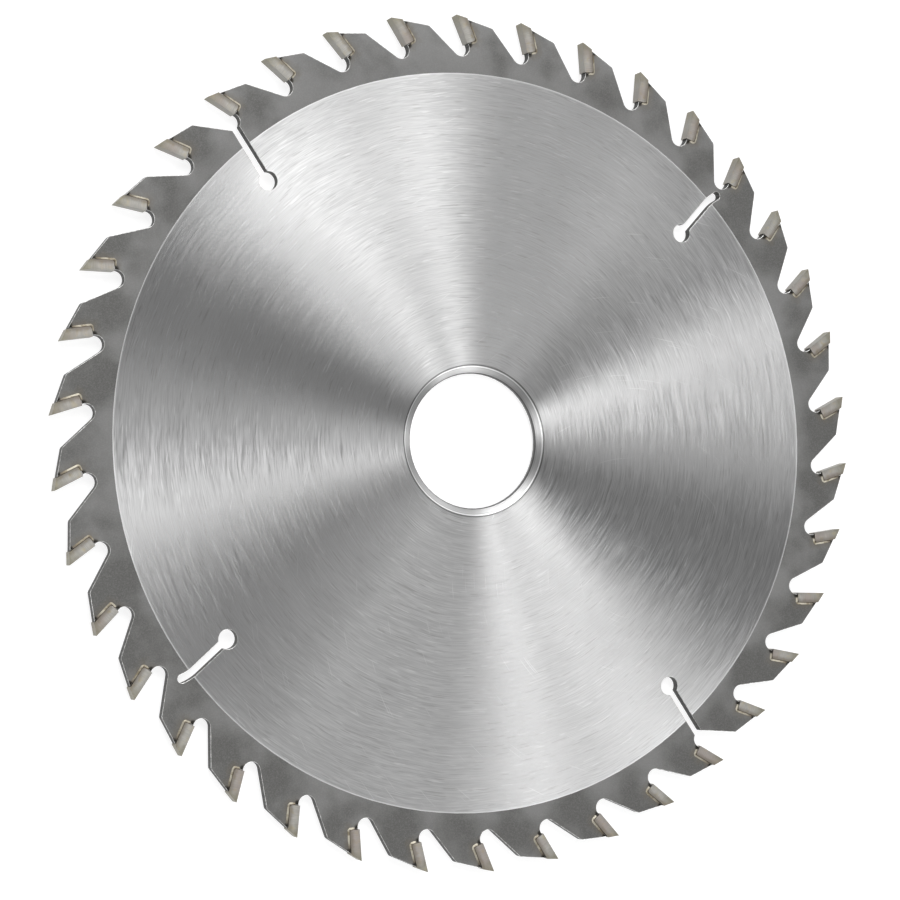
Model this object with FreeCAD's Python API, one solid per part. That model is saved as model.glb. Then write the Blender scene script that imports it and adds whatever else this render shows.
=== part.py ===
import FreeCAD, Part
import math
import os

# A circular saw blade with brazed carbide teeth, lying flat on one side of its teeth.
# +Z is the blade's axis, the origin is on that axis, level with the lowest tooth corners.
# Lengths are in millimetres and angles in degrees. Seen from above, the blade cuts anticlockwise.

# Blade
tip_circle_diameter = 190.0
plate_thickness = 2.2
tooth_count = 38
first_tooth_angle = -3.1

# Ground zone of each face. It lies a little lower than the rim, and slopes up to it short of the
# gullets: the land is what is left unground below them.
ground_depth = 0.04
ground_slope_width = 0.25
rim_land_width = 3.8

# Arbor bore, with a wide turned chamfer on the upper face and a broken edge on the lower one
bore_diameter = 30.0
bore_chamfer_width = 1.8
bore_chamfer_depth = 1.0
bore_edge_break = 0.2

# Carbide tips. The side overhang is how far a tip stands out of the plate's face.
hook_angle = 20.0
clearance_angle = 15.0
radial_relief_angle = 0.75
tangential_relief_angle = 1.5
tip_length = 6.8
tip_thickness = 2.2
tip_corner_radius = 0.5
tip_side_overhang = 0.4

# Braze between tip and seat, and the bead that it leaves on the plate's faces
braze_gap = 0.1
bead_width = 0.45
bead_height = 0.2
bead_top_setback = 0.9
bead_front_setback = 0.8

# Tooth body and gullet
shoulder_step = 0.3
shoulder_angle = 17.0
shoulder_length = 6.2
heel_radius = 0.8
gullet_setback = 0.3
gullet_wall = 0.3
gullet_radius = 1.9

# Expansion slots. Each starts from a round hole and runs out towards one gullet:
# the number of that gullet, and how far the hole is turned from it, clockwise.
open_slots = [(5, -1.2), (24, -1.2)]
closed_slots = [(15, -2.1), (33, 1.3)]
slot_width = 1.9
slot_hole_diameter = 4.2
open_slot_depth = 12.7
closed_slot_depth = 14.5
closed_slot_web = 0.65
closed_slot_lean = 4.5
closed_slot_bend = 20.0
closed_slot_bend_radius = 10.0

# Values worked out from the sizes above
tip_circle_radius = tip_circle_diameter / 2
bore_radius = bore_diameter / 2
pitch_angle = 360.0 / tooth_count
kerf_width = plate_thickness + 2 * tip_side_overhang
plate_bottom = tip_side_overhang
plate_top = plate_bottom + plate_thickness
ground_top = plate_top - ground_depth
ground_bottom = plate_bottom + ground_depth
seat_length = tip_length + braze_gap
seat_thickness = tip_thickness + braze_gap
tip_back_top = tip_thickness * math.tan(math.radians(clearance_angle + hook_angle))
shoulder_start = tip_back_top + shoulder_step
axis = FreeCAD.Vector(0, 0, 1)
centre = FreeCAD.Vector(0, 0, 0)


def direction(angle):
    """Unit vector in the plate's plane, at an angle from +X."""
    return FreeCAD.Vector(math.cos(math.radians(angle)), math.sin(math.radians(angle)), 0)


def turned(point, angle):
    """A point turned about the blade's axis."""
    return FreeCAD.Rotation(axis, angle).multVec(point)


def raised(point, height):
    return FreeCAD.Vector(point.x, point.y, height)


def tooth_angle(number):
    """Teeth are numbered clockwise, from the first tooth."""
    return first_tooth_angle - number * pitch_angle


def tooth_point(along, behind):
    """A point of the tooth whose cutting edge is on +X: the distance inward along the rake
    face from the cutting edge, and the distance behind that face."""
    inward = direction(180 + hook_angle)
    backward = direction(hook_angle - 90)
    return FreeCAD.Vector(tip_circle_radius, 0, 0) + inward * along + backward * behind


def line(start, end):
    return Part.LineSegment(start, end).toShape()


def arc(start, middle, end):
    return Part.Arc(start, middle, end).toShape()


def arc_about(middle_point, radius, start_angle, end_angle):
    """Start, middle and end of an arc about a point."""
    angles = (start_angle, (start_angle + end_angle) / 2, end_angle)
    return [middle_point + direction(a) * radius for a in angles]


def extruded(edges, height):
    return Part.Face(Part.Wire(edges)).extrude(FreeCAD.Vector(0, 0, height))


def rounded_corner(before, corner, after, radius):
    """Start, middle and end of the arc that rounds a corner between two straight lines."""
    to_before = (before - corner).normalize()
    to_after = (after - corner).normalize()
    half_turn = to_before.getAngle(to_after) / 2
    reach = min(radius / math.tan(half_turn), 0.45 * before.distanceToPoint(corner),
                0.45 * after.distanceToPoint(corner))
    bisector = (to_before + to_after).normalize()
    round_centre = corner + bisector * (reach / math.cos(half_turn))
    middle = round_centre - bisector * (reach * math.tan(half_turn))
    return [corner + to_before * reach, middle, corner + to_after * reach]


def gullet_centre():
    """Centre of the round gullet in front of the tooth on +X. The gullet's wall goes on a
    little below the seat, parallel to the rake face and just behind it."""
    return tooth_point(seat_length + gullet_wall, gullet_setback - gullet_radius)


def gullet_bottom_radius():
    return gullet_centre().Length - gullet_radius


def tooth_outline():
    """Edges of the steel around the tooth on +X: the gullet in front of it, the wall and the
    stepped seat for the tip, the sloping shoulder, the heel and the straight back."""
    gullet = gullet_centre()
    shoulder = tooth_point(shoulder_start, seat_thickness)
    heel = shoulder + direction(-90 - shoulder_angle) * shoulder_length
    next_gullet = turned(gullet, -pitch_angle)
    to_heel = heel - next_gullet
    heel_direction = math.degrees(math.atan2(to_heel.y, to_heel.x))
    tangent = math.degrees(math.acos(gullet_radius / to_heel.Length))
    back_end = next_gullet + direction(heel_direction + tangent) * gullet_radius
    gullet_start_angle = heel_direction + tangent + pitch_angle
    round_gullet = arc_about(gullet, gullet_radius, gullet_start_angle, 270 + hook_angle)
    seat_front = tooth_point(seat_length, gullet_setback)
    seat_corner = tooth_point(seat_length, seat_thickness)
    corner_radius = tip_corner_radius + braze_gap
    corner = rounded_corner(seat_front, seat_corner, shoulder, corner_radius)
    heel_round = rounded_corner(shoulder, heel, back_end, heel_radius)
    points = [round_gullet, [round_gullet[2], seat_front], [seat_front, corner[0]], corner,
              [corner[2], shoulder], [shoulder, heel_round[0]], heel_round,
              [heel_round[2], back_end]]
    return points


def plate_blank():
    """The toothed disc, before its bore and slots."""
    spans = []
    outline = tooth_outline()
    for number in range(tooth_count):
        for span in outline:
            spans.append([turned(point, tooth_angle(number)) for point in span])
    edges = []
    for index, span in enumerate(spans):
        following = spans[(index + 1) % len(spans)]
        ends = [raised(span[0], plate_bottom), raised(following[0], plate_bottom)]
        if len(span) == 3:
            edges.append(arc(ends[0], raised(span[1], plate_bottom), ends[1]))
        else:
            edges.append(line(ends[0], ends[1]))
    return extruded(edges, plate_thickness)


def ground_zone(height, away):
    """What grinding takes off one face: a shallow dish whose flat is at that height."""
    flat_radius = gullet_bottom_radius() - rim_land_width - ground_slope_width
    mouth_radius = flat_radius + 2 * ground_slope_width
    return Part.makeCone(flat_radius, mouth_radius, 2 * ground_depth, raised(centre, height),
                         axis * away)


def bore():
    """The arbor hole with its two countersunk edges."""
    hole = Part.makeCylinder(bore_radius, kerf_width, centre, axis)
    chamfer = Part.makeCone(bore_radius, bore_radius + bore_chamfer_width, bore_chamfer_depth,
                            raised(centre, ground_top - bore_chamfer_depth), axis)
    edge_break = Part.makeCone(bore_radius + bore_edge_break, bore_radius, bore_edge_break,
                               raised(centre, ground_bottom), axis)
    return hole.fuse([chamfer, edge_break])


def slot_hole(place):
    return Part.makeCylinder(slot_hole_diameter / 2, kerf_width, place, axis)


def slot_angle(gullet_number, swing):
    """Where the slot's hole is: turned clockwise by the swing from the gullet's middle."""
    gullet = gullet_centre()
    own_angle = math.degrees(math.atan2(gullet.y, gullet.x))
    return tooth_angle(gullet_number) + own_angle - swing


def open_slot(gullet_number, swing):
    """A straight saw cut from the hole into the gullet."""
    place = direction(slot_angle(gullet_number, swing)) * (gullet_bottom_radius() - open_slot_depth)
    gullet = turned(gullet_centre(), tooth_angle(gullet_number))
    side = (gullet - place).normalize().cross(axis) * (slot_width / 2)
    corners = [place + side, gullet + side, gullet - side, place - side]
    edges = [line(corners[i - 1], corners[i]) for i in range(4)]
    return extruded(edges, kerf_width).fuse(slot_hole(place))


def closed_slot(gullet_number, swing):
    """A slot that bends back near its outer end and stops just short of the gullet."""
    half = slot_width / 2
    hole_radius = gullet_bottom_radius() - closed_slot_depth
    heading = closed_slot_lean
    end_heading = closed_slot_lean - closed_slot_bend
    bend_reach = closed_slot_bend_radius * (math.sin(math.radians(heading))
                                            - math.sin(math.radians(end_heading)))
    run_reach = closed_slot_depth - closed_slot_web - half - bend_reach
    run = run_reach / math.cos(math.radians(heading))
    place = FreeCAD.Vector(hole_radius, 0, 0)
    run_end = place + direction(heading) * run
    bend_centre = run_end + direction(heading - 90) * closed_slot_bend_radius
    outer = arc_about(bend_centre, closed_slot_bend_radius + half, heading + 90, end_heading + 90)
    inner = arc_about(bend_centre, closed_slot_bend_radius - half, end_heading + 90, heading + 90)
    end_centre = (outer[2] + inner[0]) * 0.5
    end_middle = end_centre + direction(end_heading) * half
    start_left = place + direction(heading + 90) * half
    start_right = place + direction(heading - 90) * half
    edges = [line(start_left, outer[0]), arc(*outer), arc(outer[2], end_middle, inner[0]),
             arc(*inner), line(inner[2], start_right), line(start_right, start_left)]
    slot = extruded(edges, kerf_width).fuse(slot_hole(place))
    slot.rotate(centre, axis, slot_angle(gullet_number, swing))
    return slot


def saw_plate():
    """The steel plate: one piece, laser cut, with its two faces ground inside the rim."""
    cuts = [ground_zone(ground_top, 1), ground_zone(ground_bottom, -1), bore()]
    cuts += [open_slot(number, swing) for number, swing in open_slots]
    cuts += [closed_slot(number, swing) for number, swing in closed_slots]
    return plate_blank().cut(cuts)


def trimmed(solid, point, normal):
    """What is left of a solid behind a plane."""
    reach = 4 * (tip_length + tip_thickness + kerf_width)
    waste = Part.makeBox(reach, reach, reach, FreeCAD.Vector(-reach / 2, -reach / 2, 0))
    waste.Placement = FreeCAD.Placement(point, FreeCAD.Rotation(axis, normal))
    return solid.cut(waste)


def carbide_tip():
    """The tip of the tooth on +X: a block with a rounded inner corner, ground with hook,
    clearance and side relief, and square across its cutting edge."""
    cutting_edge = tooth_point(0, 0)
    front_end = tooth_point(tip_length, 0)
    back_end = tooth_point(tip_length, tip_thickness)
    back_top = tooth_point(tip_back_top, tip_thickness)
    corner = rounded_corner(front_end, back_end, back_top, tip_corner_radius)
    edges = [line(cutting_edge, front_end), line(front_end, corner[0]), arc(*corner),
             line(corner[2], back_top), line(back_top, cutting_edge)]
    tip = extruded(edges, kerf_width)
    radial = math.tan(math.radians(radial_relief_angle))
    tangential = math.tan(math.radians(tangential_relief_angle))
    tip = trimmed(tip, raised(cutting_edge, kerf_width), FreeCAD.Vector(-radial, -tangential, 1))
    return trimmed(tip, raised(cutting_edge, 0), FreeCAD.Vector(-radial, -tangential, -1))


def wrap(inner, outer, along_top, behind_front, height):
    """A closed L at one height around the back and the lower end of the tip on +X, between
    two distances from the tip."""
    sides = []
    for gap in (inner, outer):
        front = tooth_point(tip_length + gap, behind_front)
        elbow = tooth_point(tip_length + gap, tip_thickness + gap)
        top = tooth_point(along_top, tip_thickness + gap)
        elbow_arc = rounded_corner(front, elbow, top, tip_corner_radius + gap)
        sides.append([raised(point, height) for point in [front, *elbow_arc, top]])
    near, far = sides
    return Part.Wire([
        line(far[0], far[1]), arc(far[1], far[2], far[3]), line(far[3], far[4]),
        line(far[4], near[4]), line(near[4], near[3]), arc(near[3], near[2], near[1]),
        line(near[1], near[0]), line(near[0], far[0]),
    ])


def braze_joint():
    """The filler metal of the tooth on +X: a thin layer in the seat, and a sloping bead on
    each face of the plate where the tip stands out of it."""
    layer = Part.Face(wrap(0, braze_gap, shoulder_start, gullet_setback, plate_bottom))
    joint = layer.extrude(FreeCAD.Vector(0, 0, plate_thickness))
    bead_top = shoulder_start + bead_top_setback
    bead_front = gullet_setback + bead_front_setback
    beads = []
    for face, away in ((plate_top, 1), (plate_bottom, -1)):
        foot = wrap(0, braze_gap + bead_width, bead_top, bead_front, face)
        crest = wrap(0, braze_gap, bead_top, bead_front, face + away * bead_height)
        beads.append(Part.makeLoft([foot, crest], True, True))
    return joint.fuse(beads).removeSplitter()


def on_each_tooth(shape):
    """One copy of a tooth's piece for each tooth, in the order of their numbers."""
    copies = []
    for number in range(tooth_count):
        piece = shape.copy()
        piece.rotate(centre, axis, tooth_angle(number))
        copies.append(piece)
    return copies


def write(name, shape):
    shape.exportStep(os.path.join("parts", name + ".step"))
    print(name, len(shape.Solids), "solid(s)", round(shape.Volume, 2), "mm3", shape.isValid())


os.makedirs("parts", exist_ok=True)
write("saw_plate", saw_plate())
for number, tip in enumerate(on_each_tooth(carbide_tip()), start=1):
    write(f"carbide_tip_{number:02d}", tip)
write("braze_joints", Part.makeCompound(on_each_tooth(braze_joint())))
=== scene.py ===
import math

import bmesh
import bpy
from mathutils import Matrix, Vector


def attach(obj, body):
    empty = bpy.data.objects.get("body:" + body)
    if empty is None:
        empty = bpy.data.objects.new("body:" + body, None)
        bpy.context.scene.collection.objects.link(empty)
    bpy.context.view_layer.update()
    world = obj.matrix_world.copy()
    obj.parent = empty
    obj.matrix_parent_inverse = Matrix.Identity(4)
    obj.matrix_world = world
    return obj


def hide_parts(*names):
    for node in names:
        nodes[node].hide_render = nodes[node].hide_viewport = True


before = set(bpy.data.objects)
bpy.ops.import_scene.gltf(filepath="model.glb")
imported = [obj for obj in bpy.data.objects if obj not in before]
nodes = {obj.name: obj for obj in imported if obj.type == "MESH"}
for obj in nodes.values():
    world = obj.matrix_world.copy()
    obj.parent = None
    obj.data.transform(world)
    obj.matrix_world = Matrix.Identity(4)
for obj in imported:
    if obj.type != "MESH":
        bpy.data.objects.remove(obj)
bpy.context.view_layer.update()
MM = 0.001

# Saw plate
# One disc of hardened tool steel, laser cut to its toothed outline. Both faces are ground in a
# circle inside the rim, the rim is left blasted, and the arbor bore is turned with a wide chamfer.

# The mesh
MERGE_DISTANCE = 0.0005 * MM
FLAT_ANGLE = math.radians(0.2)
CORNER_ANGLE = math.radians(25)
SHARP_ANGLE = math.radians(12)
PLATE_EDGE_BREAK = 0.1 * MM
BORE_EDGE_BREAK = 0.22 * MM
GROUND_RADIUS = 82.05 * MM
BORE_ZONE_RADIUS = 17.2 * MM
FLAT_SLOPE = math.cos(math.radians(15))
WALL_SLOPE = math.cos(math.radians(78))
GROUND, BLASTED, CUT, TURNED, BORED, EDGE = range(6)

# The teeth, in millimetres, as every finish below counts
TOOTH_COUNT = 38
FIRST_TOOTH_ANGLE = math.radians(-3.1)
HOOK_ANGLE = math.radians(20)
TIP_CIRCLE_RADIUS = 95.0
TIP_LENGTH = 6.8
TIP_THICKNESS = 2.2
BRAZE_GAP = 0.1
AHEAD_SHARE = 0.35
GULLET_SHARE = 0.416

# The dark spots of a tooth, a painted shadow at the tip's inner end and soot at its back: how far
# inward, how far behind the rake face, and how wide
SHADOW_AND_SOOT_SPOTS = ((7.2, 0.5, 1.15), (2.2, 2.75, 1.1))
SHADOW_AND_SOOT_WANDER = 0.4
SHADOW_AND_SOOT_BLACK = (0.02, 0.018, 0.015)
SHADOW_AND_SOOT_DEPTH = 0.9


class Link:
    """A node's output. Python's operators on it add Math nodes."""

    def __init__(self, finish, socket):
        self.finish = finish
        self.socket = socket

    def __add__(self, other):
        return self.finish.maths("ADD", self, other)

    def __sub__(self, other):
        return self.finish.maths("SUBTRACT", self, other)

    def __rsub__(self, other):
        return self.finish.maths("SUBTRACT", other, self)

    def __mul__(self, other):
        return self.finish.maths("MULTIPLY", self, other)

    def __truediv__(self, other):
        return self.finish.maths("DIVIDE", self, other)

    def __rtruediv__(self, other):
        return self.finish.maths("DIVIDE", other, self)

    def __neg__(self):
        return self.finish.maths("MULTIPLY", self, -1.0)

    __radd__ = __add__
    __rmul__ = __mul__


class Finish:
    """A material and the nodes that make it."""

    def __init__(self, name):
        self.material = bpy.data.materials.new(name)
        self.material.use_nodes = True
        self.tree = self.material.node_tree
        self.shader = self.tree.nodes["Principled BSDF"]

    def put(self, socket, value):
        """A socket takes a link or a plain value. A colour of three numbers is opaque."""
        if isinstance(value, Link):
            self.tree.links.new(value.socket, socket)
        elif socket.type == "RGBA":
            socket.default_value = (*value, 1.0)
        else:
            socket.default_value = value

    def node(self, kind, settings, inputs, output=0):
        """Adds a node: its settings first, then what its sockets take."""
        made = self.tree.nodes.new(kind)
        for name, value in settings.items():
            setattr(made, name, value)
        for name, value in inputs.items():
            self.put(made.inputs[name], value)
        return Link(self, made.outputs[output])

    def maths(self, operation, *values):
        return self.node("ShaderNodeMath", {"operation": operation}, dict(enumerate(values)))

    def span(self, one, other):
        """The distance covered by a step that way and a step square to it."""
        return self.maths("SQRT", one * one + other * other)

    def shade(self, **values):
        """Sets the shader's own sockets: an underscore stands for a space."""
        for name, value in values.items():
            self.put(self.shader.inputs[name.replace("_", " ")], value)

    def place(self):
        """The point being shaded, in millimetres: x, y, z and the distance from the axis."""
        point = self.node("ShaderNodeTexCoord", {}, {}, "Object")
        x, y, z = (self.node("ShaderNodeSeparateXYZ", {}, {0: point}, axis) / MM
                   for axis in "XYZ")
        return x, y, z, self.span(x, y)

    def noise(self, x, y, z, detail=2.0):
        """Noise from about 0 to 1, with a grain of 1 in the coordinates that it is given."""
        vector = self.node("ShaderNodeCombineXYZ", {}, {0: x, 1: y, 2: z})
        return self.node("ShaderNodeTexNoise", {},
                         {"Vector": vector, "Scale": 1.0, "Detail": detail, "Roughness": 0.5})

    def mottle(self, place, size, detail=2.0):
        """Noise that is alike every way, with a grain of that many millimetres."""
        x, y, z = place[:3]
        return self.noise(x / size, y / size, z / size, detail)

    def ramp(self, value, low, high):
        """0 at low, 1 at high, and smooth between them. Low may be the larger."""
        return self.node("ShaderNodeMapRange", {"interpolation_type": "SMOOTHSTEP"},
                         {"Value": value, "From Min": low, "From Max": high})

    def mix(self, factor, one, other):
        """From one colour to another."""
        return self.node("ShaderNodeMix", {"data_type": "RGBA"},
                         {0: factor, 6: one, 7: other}, 2)

    def stain(self, colour, tint, where, depth):
        """The colour, with the tint over it to that depth where the mask is 1."""
        return self.mix(where * depth, colour, tint)

    def bump(self, height, distance, strength, **normal):
        """A normal from a height of 0 to 1, which stands for that distance in metres."""
        return self.node("ShaderNodeBump", {},
                         {"Height": height, "Distance": distance, "Strength": strength, **normal})

    def around(self):
        """The direction of the marks that a turning plate takes, round the axis."""
        return self.node("ShaderNodeTangent", {"direction_type": "RADIAL", "axis": "Z"}, {})


# How far apart in the noise the two faces and the rings of scratches are kept
FACE_STEP = 7.0
RING_STEP = 5.37
WANDER_LENGTH = 14.0
WANDER_WIDTH = 1.5


def streaks(finish, place, length, width):
    """Soft scratches that run round the axis, as long and as wide as that in millimetres."""
    x, y, z, radius = place
    return finish.noise(x / length, y / length, radius / width + z * FACE_STEP)


def dashes(finish, place, length, width, detail=1.0):
    """Sharp scratches in rings side by side, each as long and as wide as that in millimetres."""
    x, y, z, radius = place
    wander = finish.noise(x / WANDER_LENGTH, y / WANDER_LENGTH, z, 1.0) * WANDER_WIDTH
    ring = finish.maths("FLOOR", (radius + wander) / width)
    return finish.noise(x / length, y / length, ring * RING_STEP + z * FACE_STEP, detail)


def swung_normal(finish, place, swing):
    """The surface's normal, tipped along the scratches, as crossing scratches tip it."""
    x, y, z, radius = place
    normal = finish.node("ShaderNodeNewGeometry", {}, {}, "Normal")
    side = finish.node("ShaderNodeCombineXYZ", {},
                       {0: -y / radius * swing, 1: x / radius * swing, 2: 0.0})
    tipped = finish.node("ShaderNodeVectorMath", {"operation": "ADD"}, {0: normal, 1: side})
    return finish.node("ShaderNodeVectorMath", {"operation": "NORMALIZE"}, {0: tipped})


def tooth_place(finish, place):
    """The shaded point in its own tooth, in millimetres: the distance inward along the rake
    face from the cutting edge, the distance behind that face, and the share of the pitch."""
    x, y, z, radius = place
    pitch = 2 * math.pi / TOOTH_COUNT
    angle = finish.maths("ARCTAN2", y, x)
    share = finish.maths("FRACT", (FIRST_TOOTH_ANGLE - angle) / pitch + AHEAD_SHARE)
    swing = (AHEAD_SHARE - share) * pitch
    out = radius * finish.maths("COSINE", swing) - TIP_CIRCLE_RADIUS
    side = radius * finish.maths("SINE", swing)
    along = out * -math.cos(HOOK_ANGLE) - side * math.sin(HOOK_ANGLE)
    behind = out * math.sin(HOOK_ANGLE) - side * math.cos(HOOK_ANGLE)
    return along, behind, share


def past_tip(finish, along, behind, margin):
    """The distance past the tip's back and inner end, in millimetres, less a margin."""
    past_back = finish.maths("MAXIMUM", behind - (TIP_THICKNESS + margin), -behind)
    past_end = finish.maths("MAXIMUM", along - (TIP_LENGTH + margin), 0.0)
    return finish.span(finish.maths("MAXIMUM", past_back, 0.0), past_end)


def shadow_and_soot(finish, colour, along, behind, wander):
    """The colour, with a black painted shadow in the nick where a tip's inner end meets the gullet
    and sooty in the corner where its back meets the shoulder."""
    for spot_along, spot_behind, width in SHADOW_AND_SOOT_SPOTS:
        away = finish.span(along - spot_along, behind - spot_behind) + wander * SHADOW_AND_SOOT_WANDER
        colour = finish.stain(colour, SHADOW_AND_SOOT_BLACK, finish.ramp(away, width, width / 2),
                              SHADOW_AND_SOOT_DEPTH)
    return colour


# Ground face: stray scratches curve round a centre of their own, a painted dark shade line runs
# round the bore's chamfer, a painted highlight line on the lip ends the ground circle, and the
# grind swings on one side
GROUND_DULL = (0.6, 0.6, 0.6)
GROUND_BRIGHT = (0.79, 0.79, 0.79)
FRESH_CUT = (0.98, 0.98, 0.98)
# Pale worn scratches, and the painted highlight on the lip
WORN_CUT_AND_LIP_HIGHLIGHT = (0.95, 0.95, 0.95)
DEEP_CUT = (0.42, 0.415, 0.41)
BORE_SHADE_LINE_COLOUR = (0.12, 0.12, 0.12)
STRAY_CENTRE = (38.0, -30.0)
STRAY_LENGTH = 9.0
STRAY_WIDTH = 0.24
BORE_SHADE_LINE = (17.05, 16.9)
LIP_HIGHLIGHT = (81.65, 81.8)
SWING_AT = math.radians(18)
SWING_SPREAD = math.radians(12)
SWING = math.radians(-8.5)


def swung_grind(finish, place):
    """The direction of the ground marks, which swings off the circle on one side."""
    x, y, z, radius = place
    off = (finish.maths("ARCTAN2", y, x) - SWING_AT) / SWING_SPREAD
    swing = finish.maths("EXPONENT", -(off * off)) * SWING
    return finish.node("ShaderNodeVectorRotate", {"rotation_type": "Z_AXIS"},
                       {"Vector": finish.around(), "Angle": swing})


def ground_steel():
    """The plate's ground face: bright, with fine arcs and short streaks round the axis."""
    finish = Finish("ground_steel")
    place = finish.place()
    x, y, z, radius = place
    grooves = streaks(finish, place, length=5.0, width=0.28)
    fine = dashes(finish, place, length=4.5, width=0.15)
    broad = dashes(finish, place, length=12.0, width=0.29)
    bands = streaks(finish, place, length=50.0, width=6.0)
    shade = finish.ramp(fine * 0.5 + broad * 0.3 + bands * 0.2, 0.32, 0.68)
    colour = finish.mix(shade, GROUND_DULL, GROUND_BRIGHT)
    light = finish.ramp(dashes(finish, place, 4.4, 0.19, detail=0.0), 0.7, 0.82)
    colour = finish.stain(colour, FRESH_CUT, light, depth=0.5)
    dark = finish.ramp(dashes(finish, place, 5.0, 0.21, detail=0.0), 0.32, 0.2)
    colour = finish.stain(colour, DEEP_CUT, dark, depth=0.45)
    crossing = finish.span(x - STRAY_CENTRE[0], y - STRAY_CENTRE[1])
    stray = finish.noise(x / STRAY_LENGTH, y / STRAY_LENGTH, crossing / STRAY_WIDTH, 0.0)
    colour = finish.stain(colour, WORN_CUT_AND_LIP_HIGHLIGHT, finish.ramp(stray, 0.76, 0.84), depth=0.5)
    # Painted shade: a dark line round the outer edge of the bore's chamfer
    colour = finish.stain(colour, BORE_SHADE_LINE_COLOUR, finish.ramp(radius, *BORE_SHADE_LINE), depth=0.8)
    # Painted highlight: a bright line on the lip where the ground circle ends; it also lowers
    # Metallic there
    lip_highlight = finish.ramp(radius, *LIP_HIGHLIGHT)
    colour = finish.stain(colour, WORN_CUT_AND_LIP_HIGHLIGHT, lip_highlight, depth=0.5)
    normal = swung_normal(finish, place, (fine - 0.5) * 0.08 + (broad - 0.5) * 0.06)
    finish.shade(Base_Color=colour, Metallic=1.0 - lip_highlight * 0.4, Roughness=0.315 - shade * 0.04,
                 Anisotropic=1.0, Anisotropic_Rotation=0.25, Tangent=swung_grind(finish, place),
                 Normal=finish.bump(grooves, 0.006 * MM, 0.3, Normal=normal))
    return finish.material


# Blasted rim: paler under the gullets, toward the ground circle and at the heels, with painted
# light on one side
RIM_DARK = (0.138, 0.137, 0.132)
RIM_PALE = (0.244, 0.243, 0.239)
RIM_GRIT = (0.34, 0.34, 0.335)
HEAT_BROWN = (0.175, 0.156, 0.127)
SOOT = (0.07, 0.06, 0.05)
INNER_RIM = (88.0, 82.5)
PAINTED_LIGHT_SIDE = (55.0, 95.0)
HEEL_BEHIND = (5.5, 9.0)
HEEL_ALONG = (7.5, 3.5)
HEAT_REACH = (3.4, 0.9)
SOOT_REACH = (1.0, 0.35)


def blasted_steel():
    """The rim, blasted clean after brazing: even matte grey, with heat marks and a painted shadow
    at the tips.
    """
    finish = Finish("blasted_steel")
    place = finish.place()
    x, y, z, radius = place
    along, behind, share = tooth_place(finish, place)
    grain = finish.mottle(place, size=0.25, detail=3.0)
    cloud = finish.mottle(place, size=9.0)
    wander = finish.mottle(place, size=1.4)
    under_gullet = finish.maths("COSINE", (share - GULLET_SHARE) * (2 * math.pi))
    inward = finish.ramp(radius + cloud * 3.0, *INNER_RIM)
    heel = finish.ramp(behind + cloud * 2.0, *HEEL_BEHIND) * finish.ramp(along, *HEEL_ALONG)
    # Painted light: the rim made paler on one side, as if the light fell brighter there
    painted_light_side = finish.ramp(y, *PAINTED_LIGHT_SIDE)
    tone = cloud + under_gullet * 0.07 + inward * 0.14 + heel * 0.2 + painted_light_side * 0.2 - 0.08
    colour = finish.mix(finish.ramp(tone, 0.3, 0.7), RIM_DARK, RIM_PALE)
    colour = finish.stain(colour, RIM_GRIT, finish.ramp(grain, 0.35, 0.75), depth=0.25)
    gap = past_tip(finish, along, behind, margin=BRAZE_GAP)
    heat = finish.ramp(gap + wander * 2.4, *HEAT_REACH)
    colour = finish.stain(colour, HEAT_BROWN, heat, depth=0.65)
    soot = finish.ramp(gap + wander * 0.8, *SOOT_REACH)
    colour = finish.stain(colour, SOOT, soot, depth=0.65)
    # Painted shadow in the nick at each tip's inner end, and soot in the corner at its back
    colour = shadow_and_soot(finish, colour, along, behind, wander)
    finish.shade(Base_Color=colour, Metallic=0.85, Roughness=0.5 + cloud * 0.1,
                 Normal=finish.bump(grain, 0.02 * MM, 0.5))
    return finish.material


SCALE_DARK = (0.054, 0.054, 0.053)
SCALE_PALE = (0.132, 0.132, 0.13)
SCALE_RUST = (0.108, 0.084, 0.06)
RIB_WIDTH = 0.16
RIB_LENGTH = 4.0


def cut_steel():
    """The laser-cut walls: dark with scale, with fine striations across the thickness."""
    finish = Finish("cut_steel")
    place = finish.place()
    x, y, z, radius = place
    ribs = finish.noise(x / RIB_WIDTH, y / RIB_WIDTH, z / RIB_LENGTH, 1.0)
    rust = finish.mottle(place, size=2.5)
    colour = finish.mix(finish.ramp(ribs, 0.3, 0.7), SCALE_DARK, SCALE_PALE)
    colour = finish.stain(colour, SCALE_RUST, finish.ramp(rust, 0.5, 0.8), depth=0.5)
    finish.shade(Base_Color=colour, Metallic=0.6, Roughness=0.55,
                 Normal=finish.bump(ribs, 0.02 * MM, 0.6))
    return finish.material


# Turned chamfer: a painted highlight band inside its outer edge, and a painted dark shade line
# along both of its edges
TURNED_DARK = (0.42, 0.42, 0.42)
TURNED_PALE = (0.56, 0.56, 0.56)
TURNED_WORN = (0.3, 0.294, 0.282)
SHOULDER_HIGHLIGHT_COLOUR = (0.93, 0.93, 0.93)
EDGE_SHADE_COLOUR = (0.1, 0.1, 0.1)
SHOULDER_HIGHLIGHT = (16.3, 16.45)
OUTER_SHADE_LINE = (16.6, 16.7)
INNER_SHADE_LINE = (15.3, 15.15)
TOOL_RING_WIDTH = 0.09
TOOL_RING_LENGTH = 40.0


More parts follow.
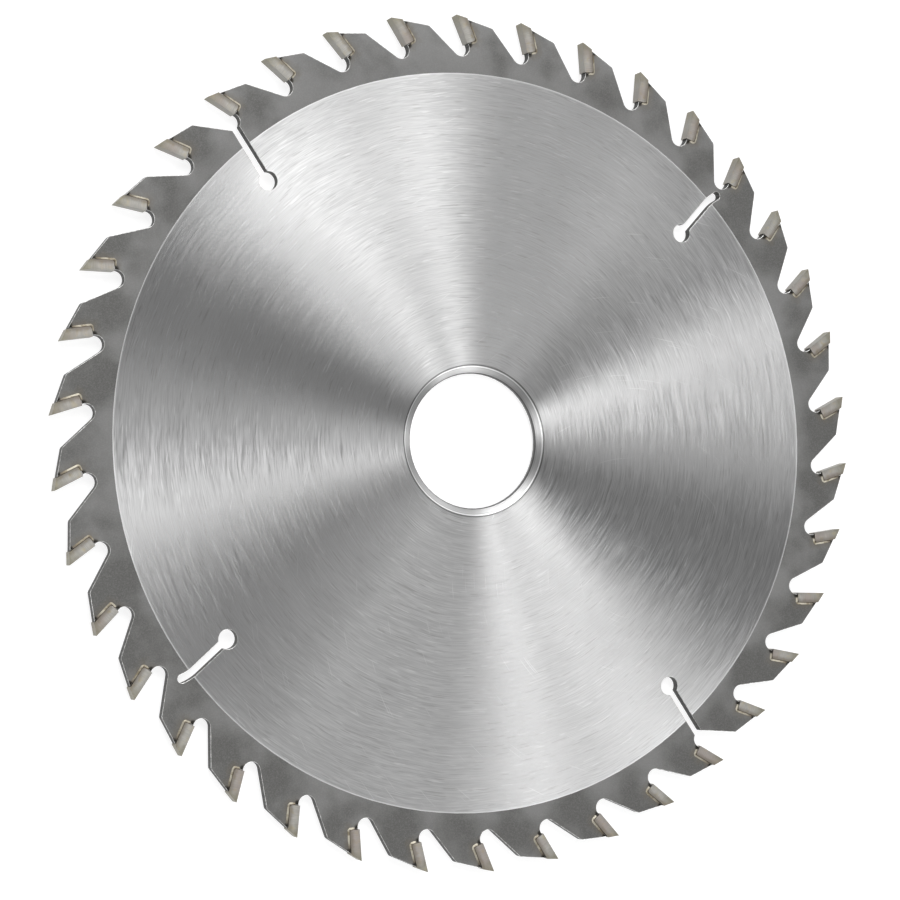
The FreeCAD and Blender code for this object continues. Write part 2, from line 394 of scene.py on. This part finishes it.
def turned_steel():
    """The bore's chamfer: bright, with the fine rings of the turning tool."""
    finish = Finish("turned_steel")
    place = finish.place()
    x, y, z, radius = place
    rings = finish.noise(radius / TOOL_RING_WIDTH, z / TOOL_RING_WIDTH, x / TOOL_RING_LENGTH, 1.0)
    wear = streaks(finish, place, length=3.0, width=0.3)
    colour = finish.mix(finish.ramp(rings, 0.3, 0.7), TURNED_DARK, TURNED_PALE)
    colour = finish.stain(colour, TURNED_WORN, finish.ramp(wear, 0.62, 0.8), depth=0.4)
    # Painted highlight: a pale band just inside the chamfer's outer edge
    colour = finish.stain(colour, SHOULDER_HIGHLIGHT_COLOUR, finish.ramp(radius, *SHOULDER_HIGHLIGHT), depth=0.8)
    # Painted shade: dark lines along the chamfer's outer and inner edges
    edge_shade = finish.maths("MAXIMUM", finish.ramp(radius, *OUTER_SHADE_LINE),
                           finish.ramp(radius, *INNER_SHADE_LINE))
    colour = finish.stain(colour, EDGE_SHADE_COLOUR, edge_shade, depth=0.85)
    finish.shade(Base_Color=colour, Metallic=1.0, Roughness=0.36 + wear * 0.06,
                 Anisotropic=0.8, Anisotropic_Rotation=0.25, Tangent=finish.around(),
                 Normal=finish.bump(rings, 0.008 * MM, 0.3))
    return finish.material


BORED_DARK = (0.156, 0.156, 0.156)
BORED_PALE = (0.24, 0.24, 0.238)
BORED_STAIN = (0.12, 0.108, 0.096)


def bored_steel():
    """The bore's wall: smooth, a little stained by handling."""
    finish = Finish("bored_steel")
    x, y, z, radius = finish.place()
    rings = finish.noise(x / 30.0, y / 30.0, z / 0.08, 1.0)
    stain = finish.noise(x / 3.0, y / 3.0, z / 1.5)
    colour = finish.mix(finish.ramp(rings, 0.3, 0.7), BORED_DARK, BORED_PALE)
    colour = finish.stain(colour, BORED_STAIN, finish.ramp(stain, 0.5, 0.8), depth=0.4)
    finish.shade(Base_Color=colour, Metallic=0.8, Roughness=0.35 + stain * 0.1,
                 Normal=finish.bump(rings, 0.01 * MM, 0.4))
    return finish.material


RUBBED_DULL = (0.41, 0.41, 0.4)
RUBBED_BRIGHT = (0.86, 0.86, 0.85)


def edge_steel():
    """Broken edges, rubbed bright."""
    finish = Finish("edge_steel")
    nick = finish.mottle(finish.place(), size=0.6)
    colour = finish.mix(finish.ramp(nick, 0.35, 0.7), RUBBED_DULL, RUBBED_BRIGHT)
    finish.shade(Base_Color=colour, Metallic=1.0, Roughness=0.34 + nick * 0.1,
                 Normal=finish.bump(nick, 0.02 * MM, 0.4))
    return finish.material


def face_finish(face):
    """Which of the plate's finishes a face has, by its slope and its place."""
    middle = face.calc_center_median()
    radius = math.hypot(middle.x, middle.y)
    slope = abs(face.normal.z)
    if slope > FLAT_SLOPE:
        return GROUND if radius < GROUND_RADIUS else BLASTED
    if radius < BORE_ZONE_RADIUS:
        return TURNED if slope > WALL_SLOPE else BORED
    return EDGE if slope > WALL_SLOPE else CUT


def in_bore(edge):
    return all(math.hypot(v.co.x, v.co.y) < BORE_ZONE_RADIUS for v in edge.verts)


def corners(plate):
    return [e for e in plate.edges if e.is_manifold and e.calc_face_angle() > CORNER_ANGLE]


def break_edges(plate, edges, width):
    """Rounds off those edges by that much."""
    bmesh.ops.bevel(plate, geom=edges, offset=width, offset_type="OFFSET", segments=2,
                    profile=0.5, affect="EDGES", material=-1, clamp_overlap=True)


def saw_plate():
    plate = bmesh.new()
    plate.from_mesh(nodes["saw_plate"].data)
    bmesh.ops.remove_doubles(plate, verts=plate.verts, dist=MERGE_DISTANCE)
    bmesh.ops.dissolve_limit(plate, angle_limit=FLAT_ANGLE, verts=plate.verts,
                             edges=plate.edges, delimit=set())
    break_edges(plate, [e for e in corners(plate) if not in_bore(e)], PLATE_EDGE_BREAK)
    break_edges(plate, [e for e in corners(plate) if in_bore(e)], BORE_EDGE_BREAK)
    bmesh.ops.triangulate(plate, faces=[f for f in plate.faces if len(f.verts) > 4])
    plate.normal_update()
    for face in plate.faces:
        face.smooth = True
        face.material_index = face_finish(face)
    for edge in plate.edges:
        edge.smooth = edge.is_manifold and edge.calc_face_angle() < SHARP_ANGLE
    mesh = bpy.data.meshes.new("saw_plate_ground")
    plate.to_mesh(mesh)
    plate.free()
    for finish in (ground_steel, blasted_steel, cut_steel, turned_steel, bored_steel, edge_steel):
        mesh.materials.append(finish())
    piece = bpy.data.objects.new("saw_plate_ground", mesh)
    bpy.context.scene.collection.objects.link(piece)
    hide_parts("saw_plate")
    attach(piece, "root")


saw_plate()


# Carbide tips
# 38 blocks of sintered tungsten carbide, brazed into the seats and then ground on every side.
# The heat leaves them straw and brown in places, darker toward the seam and the cutting edge.

CARBIDE_DARK = (0.43, 0.418, 0.39)
CARBIDE_PALE = (0.52, 0.503, 0.468)
CARBIDE_STRAW = (0.5, 0.435, 0.28)
CARBIDE_BROWN = (0.36, 0.29, 0.26)
RAKE_SIDE_GREY = (0.33, 0.32, 0.29)
RAKE_FACE_GREY = (0.22, 0.217, 0.2)
SEAM_SIDE_BROWN = (0.19, 0.162, 0.128)
WORKED_OLIVE = (0.26, 0.243, 0.175)
GRINDING_LINE_WIDTH = 0.12
GRINDING_LINE_LENGTH = 2.5
TOOTH_TO_TOOTH = 6.0
RAKE_SIDE = (1.5, 0.5)
RAKE_FACE = (0.1, 0.04)
SEAM_SIDE = (1.5, 2.5)
WORKED_END = (5.2, 1.4)


def tip_carbide():
    """Ground carbide: warm grey, straw-tinted in places, with fine grinding lines."""
    finish = Finish("ground_carbide")
    place = finish.place()
    x, y, z, radius = place
    along, behind, share = tooth_place(finish, place)
    lines = finish.noise(along / GRINDING_LINE_WIDTH, behind / GRINDING_LINE_LENGTH,
                         z / GRINDING_LINE_LENGTH + x / 9.0, 1.0)
    tooth = finish.noise(x / TOOTH_TO_TOOTH, y / TOOTH_TO_TOOTH, 0.5, 1.0)
    patch = finish.mottle(place, size=1.3)
    colour = finish.mix(finish.ramp(lines, 0.3, 0.7), CARBIDE_DARK, CARBIDE_PALE)
    colour = finish.stain(colour, CARBIDE_STRAW, finish.ramp(patch, 0.5, 0.75), depth=0.6)
    colour = finish.stain(colour, CARBIDE_BROWN, finish.ramp(tooth, 0.45, 0.65), depth=0.5)
    rake_side = finish.ramp(behind + patch * 1.2, *RAKE_SIDE)
    colour = finish.stain(colour, RAKE_SIDE_GREY, rake_side, depth=0.5)
    rake_face = finish.ramp(behind, *RAKE_FACE)
    colour = finish.stain(colour, RAKE_FACE_GREY, rake_face, depth=0.3)
    seam_side = finish.ramp(behind + patch * 0.8, *SEAM_SIDE)
    colour = finish.stain(colour, SEAM_SIDE_BROWN, seam_side, depth=0.65)
    worked = finish.ramp(along + patch * 3.0, *WORKED_END)
    colour = finish.stain(colour, WORKED_OLIVE, worked, depth=0.75)
    finish.shade(Base_Color=colour, Metallic=0.7, Roughness=0.38 + patch * 0.12,
                 Normal=finish.bump(lines, 0.01 * MM, 0.4))
    return finish.material


carbide = tip_carbide()
for name, node in nodes.items():
    if name.startswith("carbide_tip"):
        node.data.materials.clear()
        node.data.materials.append(carbide)


# Braze joints
# Silver solder, drawn into the gap between tip and seat by capillarity, with a small fillet
# left standing along the tip on both faces of the plate. A dark seam parts it from the tip.

SOLDER_GOLD = (0.52, 0.487, 0.4)
SOLDER_STAINED = (0.26, 0.222, 0.155)
SOLDER_BROWN = (0.2, 0.172, 0.13)
SOLDER_SOOTY = (0.12, 0.1, 0.078)
SEAM_BLACK = (0.07, 0.055, 0.04)
JOINT_TO_JOINT = 7.0
SOOTY_END = (5.4, 3.6)
SEAM = (0.3, 0.13)


def solder():
    """Pale gold filler metal, a little uneven, with brown flux stains."""
    finish = Finish("solder")
    place = finish.place()
    x, y, z, radius = place
    along, behind, share = tooth_place(finish, place)
    lump = finish.mottle(place, size=0.5)
    stain = finish.noise(x / 1.1, y / 1.1, z / 1.1 + 3.0)
    joint = finish.noise(x / JOINT_TO_JOINT, y / JOINT_TO_JOINT, 2.5, 1.0)
    colour = finish.mix(finish.ramp(stain, 0.44, 0.66), SOLDER_GOLD, SOLDER_STAINED)
    colour = finish.stain(colour, SOLDER_BROWN, finish.ramp(joint, 0.42, 0.66), depth=0.6)
    sooty_end = finish.ramp(along + stain * 1.6, *SOOTY_END)
    colour = finish.stain(colour, SOLDER_SOOTY, sooty_end, depth=0.85)
    seam = finish.ramp(past_tip(finish, along, behind, margin=0.0) + lump * 0.08, *SEAM)
    colour = finish.stain(colour, SEAM_BLACK, seam, depth=0.85)
    # Painted shadow in the nick at each tip's inner end, and soot in the corner at its back
    colour = shadow_and_soot(finish, colour, along, behind, lump)
    finish.shade(Base_Color=colour, Metallic=0.7, Roughness=0.42 + stain * 0.12,
                 Normal=finish.bump(lump, 0.08 * MM, 0.6))
    return finish.material


nodes["braze_joints"].data.materials.clear()
nodes["braze_joints"].data.materials.append(solder())


# Camera
# It looks down on the lying blade from the left, close enough to show perspective.

CAMERA_PLACE = Vector((-206.25, -24.35, 491.99)) * MM
CAMERA_TURN = (2.816, -22.213, -1.065)
LENS = 96.0
SENSOR = 36.0
NEAREST = 10 * MM
camera = bpy.data.objects.new("camera", bpy.data.cameras.new("camera"))
camera.data.lens = LENS
camera.data.sensor_width = SENSOR
camera.data.clip_start = NEAREST
camera.location = CAMERA_PLACE
camera.rotation_euler = [math.radians(angle) for angle in CAMERA_TURN]
bpy.context.scene.collection.objects.link(camera)
bpy.context.scene.camera = camera


# Floor
# A plain white table top: it shows white to the camera and in the metal, and keeps shadows.

FLOOR_SIZE = 6.0
FLOOR_GREY = (0.4, 0.4, 0.4)
WHITE = (1.0, 1.0, 1.0)
FLOOR_GLOW = 0.76


def floor_white():
    finish = Finish("floor_white")
    seen, mirrored, through = (
        finish.node("ShaderNodeLightPath", {}, {}, ray)
        for ray in ("Is Camera Ray", "Is Glossy Ray", "Is Transmission Ray"))
    glowing = finish.maths("MAXIMUM", finish.maths("MAXIMUM", seen, mirrored), through)
    finish.shade(Base_Color=FLOOR_GREY, Roughness=1.0, Specular_IOR_Level=0.0,
                 Emission_Color=WHITE, Emission_Strength=glowing * FLOOR_GLOW)
    return finish.material


def floor():
    table = bmesh.new()
    bmesh.ops.create_grid(table, x_segments=1, y_segments=1, size=FLOOR_SIZE / 2)
    mesh = bpy.data.meshes.new("floor")
    table.to_mesh(mesh)
    table.free()
    mesh.materials.append(floor_white())
    piece = bpy.data.objects.new("floor", mesh)
    bpy.context.scene.collection.objects.link(piece)


floor()


# Studio light
# Upright soft panels stand well away in a ring round the direction in which the plate mirrors
# the camera. Each lights one fan of the ground face, and an even sky fills the rest.

SKY_STRENGTH = 0.216
PANEL_DISTANCE = 3.0
PANEL_TILT = math.radians(42)
PANEL_WIDTH = 0.42
PANEL_HEIGHT = 1.6
PANELS = {
    # strength by the direction on the picture, in degrees clockwise from its right
    0: 2.5, 50: 3.6, 70: 3.1, 80: 2.75, 90: 0.5, 100: 1.65, 120: 1.0, 160: 2.0, 170: 5.6,
    180: 0.3, 220: 2.15, 230: 4.6, 240: 4.6, 250: 2.1, 260: 3.3, 270: 4.0, 290: 0.9, 300: 0.9,
    310: 1.85, 320: 1.8, 330: 1.3, 340: 0.4,
}
world = bpy.data.worlds.new("sky")
world.use_nodes = True
world.node_tree.nodes["Background"].inputs["Color"].default_value = (*WHITE, 1.0)
world.node_tree.nodes["Background"].inputs["Strength"].default_value = SKY_STRENGTH
bpy.context.scene.world = world


def panel(clockwise, strength):
    """A strip softbox, turned to face the blade."""
    towards_camera = CAMERA_PLACE.normalized()
    mirrored = Vector((-towards_camera.x, -towards_camera.y, towards_camera.z))
    angle = math.radians(clockwise)
    outward = Vector((math.cos(angle), -math.sin(angle), 0))
    across = mirrored.cross(outward).normalized()
    aim = Matrix.Rotation(PANEL_TILT, 3, across) @ mirrored
    lamp = bpy.data.lights.new(f"panel_{clockwise}", "AREA")
    lamp.shape = "RECTANGLE"
    lamp.size = PANEL_WIDTH
    lamp.size_y = PANEL_HEIGHT
    lamp.energy = strength * PANEL_WIDTH * PANEL_HEIGHT * math.pi
    stand = bpy.data.objects.new(f"panel_{clockwise}", lamp)
    turn = Matrix((across, across.cross(aim), aim)).transposed()
    stand.matrix_world = Matrix.Translation(aim * PANEL_DISTANCE) @ turn.to_4x4()
    bpy.context.scene.collection.objects.link(stand)


for clockwise, strength in PANELS.items():
    panel(clockwise, strength)

bpy.context.scene.view_settings.view_transform = "Standard"
bpy.context.view_layer.update()
